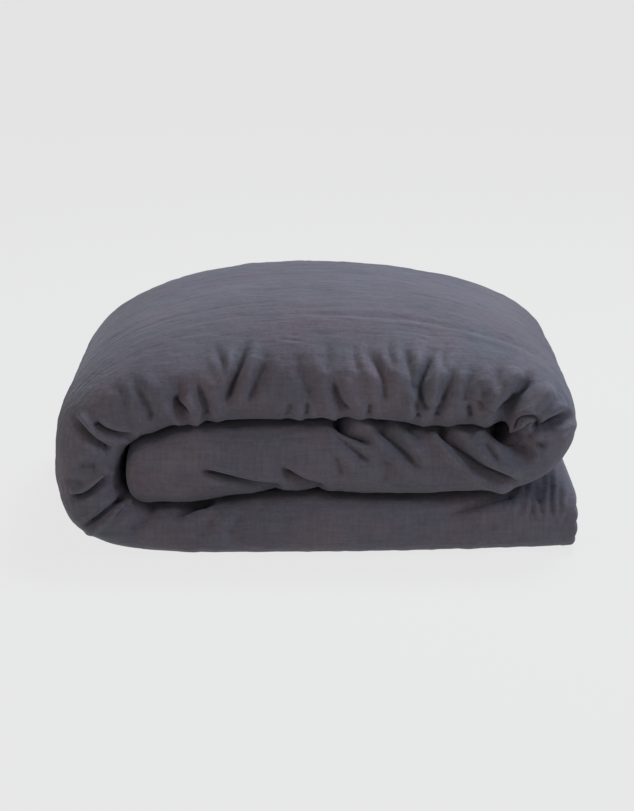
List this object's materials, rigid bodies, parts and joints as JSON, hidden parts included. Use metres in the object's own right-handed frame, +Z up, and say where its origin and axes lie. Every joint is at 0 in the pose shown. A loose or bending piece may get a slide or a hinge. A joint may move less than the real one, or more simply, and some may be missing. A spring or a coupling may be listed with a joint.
{
  "type": "folded duvet in a cover",
  "caption": "Lofty duvet in a charcoal grey linen-look cover, folded lengthwise and rolled over into a soft spiral bundle.",
  "frame": {"origin": "under the middle of the bundle, on the surface that it rests on", "axes": "+Z up, +X along the bundle's long side towards the strip's loose end, and the rounded front fold faces -Y"},
  "size_m": [0.66, 0.5, 0.32],
  "materials": {
    "cover_cloth": "washed plain weave linen and cotton cloth, charcoal grey",
    "ticking": "close-woven white cotton",
    "wadding": "soft lofted fibre",
    "seam_cloth": "folded and stitched cover cloth",
    "placket_cloth": "folded cover cloth, pressed and stitched",
    "binding_tape": "twill tape",
    "button": "satin, with a fine marbling",
    "tie_cord": "narrow woven tape",
    "loop_cord": "narrow woven tape"
  },
  "bodies": {
    "lower": {"cover_lower": "cover_cloth", "ticking_lower": "ticking", "bottom_fill_1": "wadding", "bottom_fill_2": "wadding", "bottom_fill_3": "wadding", "bottom_fill_4": "wadding", "left_turn_fill_lower": "wadding", "side_seams_lower": "seam_cloth", "insert_binding_lower": "binding_tape", "head_seam": "seam_cloth", "head_ties": "tie_cord", "head_loops": "loop_cord"},
    "upper": {"cover_upper": "cover_cloth", "ticking_upper": "ticking", "left_turn_fill_upper": "wadding", "crown_fill_1": "wadding", "crown_fill_2": "wadding", "crown_fill_3": "wadding", "crown_fill_4": "wadding", "right_turn_fill": "wadding", "inner_fill_1": "wadding", "inner_fill_2": "wadding", "inner_fill_3": "wadding", "inner_fill_4": "wadding", "side_seams_upper": "seam_cloth", "insert_binding_upper": "binding_tape", "foot_placket": "placket_cloth", "foot_buttons": "button", "foot_ties": "tie_cord", "foot_loops": "loop_cord"}
  },
  "joints": [
    {"name": "top_fold", "type": "hinge", "parent": "lower", "child": "upper", "pos_m": [-0.33, 0, 0.123], "axis": [0, -1, 0], "range_deg": [0, 150]}
  ]
}
